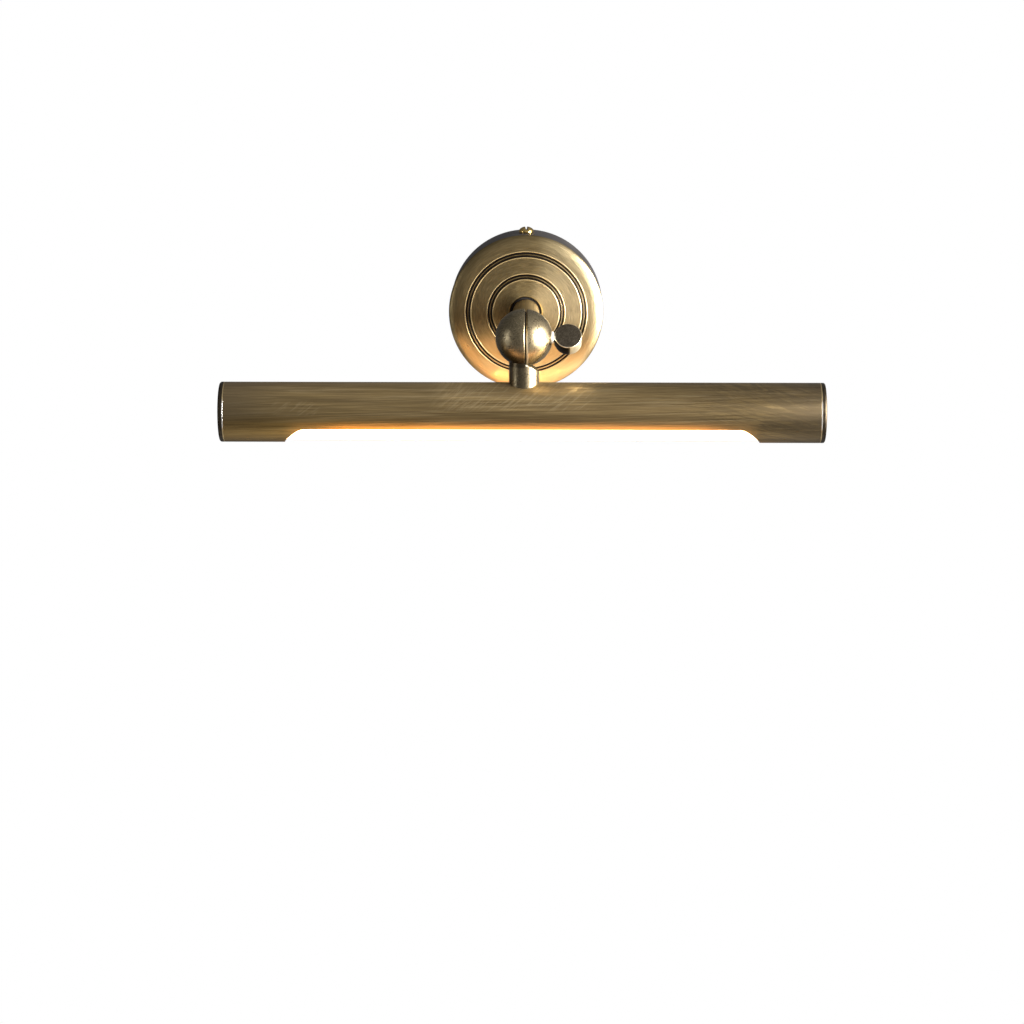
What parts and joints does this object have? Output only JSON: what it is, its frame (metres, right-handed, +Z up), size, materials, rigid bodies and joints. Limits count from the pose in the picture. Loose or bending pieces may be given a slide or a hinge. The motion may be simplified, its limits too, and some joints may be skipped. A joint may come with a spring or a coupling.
{
  "type": "picture light",
  "caption": "Wall-mounted picture light: round grooved canopy, straight arm, clamped split-ball knuckle and a tubular lamp head with a window in its underside.",
  "frame": {"origin": "middle of the wall strap's back face, on the wall plane at the centre of the canopy", "axes": "+X along the lamp tube, to the viewer's right; +Y into the wall; +Z up"},
  "size_m": [0.402, 0.196, 0.1287],
  "materials": {
    "strap_steel": "zinc-plated sheet steel",
    "fastener_steel": "zinc-plated, fine brushed",
    "bright_washer": "bright plated",
    "polished_brass": "polished yellow brass",
    "canopy_side": "dark bronzed, satin",
    "canopy_brass": "antique, brushed in circles",
    "black_rubber": "matt",
    "friction_fibre": "pressed fibre, dark",
    "arm_brass": "antique, brushed",
    "ball_brass": "antique, brushed and oiled",
    "tube_brass": "antique, brushed along its length",
    "cap_brass": "dark antique, brushed",
    "paddle_brass": "dark antique, brushed",
    "rail_aluminium": "extruded",
    "board_white": "white solder mask",
    "chip_yellow": "phosphor",
    "opal": "opal, lit from behind",
    "white_plastic": "moulded",
    "wire_sleeve": "soft sleeve"
  },
  "bodies": {
    "wall_mount": {"wall_strap": "strap_steel", "earth_screw": "polished_brass", "canopy_shell": "canopy_side", "canopy_face": "canopy_brass", "canopy_screws": "polished_brass", "arm_plate": "strap_steel", "plate_screws": "fastener_steel", "arm_bush": "black_rubber", "arm_tube": "arm_brass", "arm_rod": "fastener_steel", "arm_washer": "fastener_steel", "arm_nut": "fastener_steel", "arm_half_ball": "ball_brass", "led_driver": "white_plastic", "driver_pad": "black_rubber", "terminal_block": "white_plastic", "terminal_screws": "polished_brass", "supply_wires": "wire_sleeve", "arm_lead": "wire_sleeve"},
    "lamp_head": {"stem_half_ball": "ball_brass", "friction_ring": "friction_fibre", "stem_nipple": "fastener_steel", "stem_washer": "fastener_steel", "stem_nut": "fastener_steel", "lamp_tube": "tube_brass", "left_end_cap": "cap_brass", "right_end_cap": "cap_brass", "led_rail": "rail_aluminium", "led_board": "board_white", "led_chips": "chip_yellow", "board_screws": "fastener_steel", "lead_connector": "white_plastic", "diffuser": "opal", "stem_lead": "wire_sleeve"},
    "clamp_knob": {"clamp_paddle": "paddle_brass", "clamp_screw": "fastener_steel", "clamp_washer": "bright_washer", "clamp_spring_washer": "bright_washer"}
  },
  "joints": [
    {"name": "head_tilt", "type": "hinge", "parent": "wall_mount", "child": "lamp_head", "pos_m": [0, -0.176, 0], "axis": [1, 0, 0], "range_deg": [-150, 25]},
    {"name": "clamp_turn", "type": "hinge", "parent": "wall_mount", "child": "clamp_knob", "pos_m": [0.022, -0.176, 0], "axis": [1, 0, 0], "range_deg": [0, 270]}
  ]
}
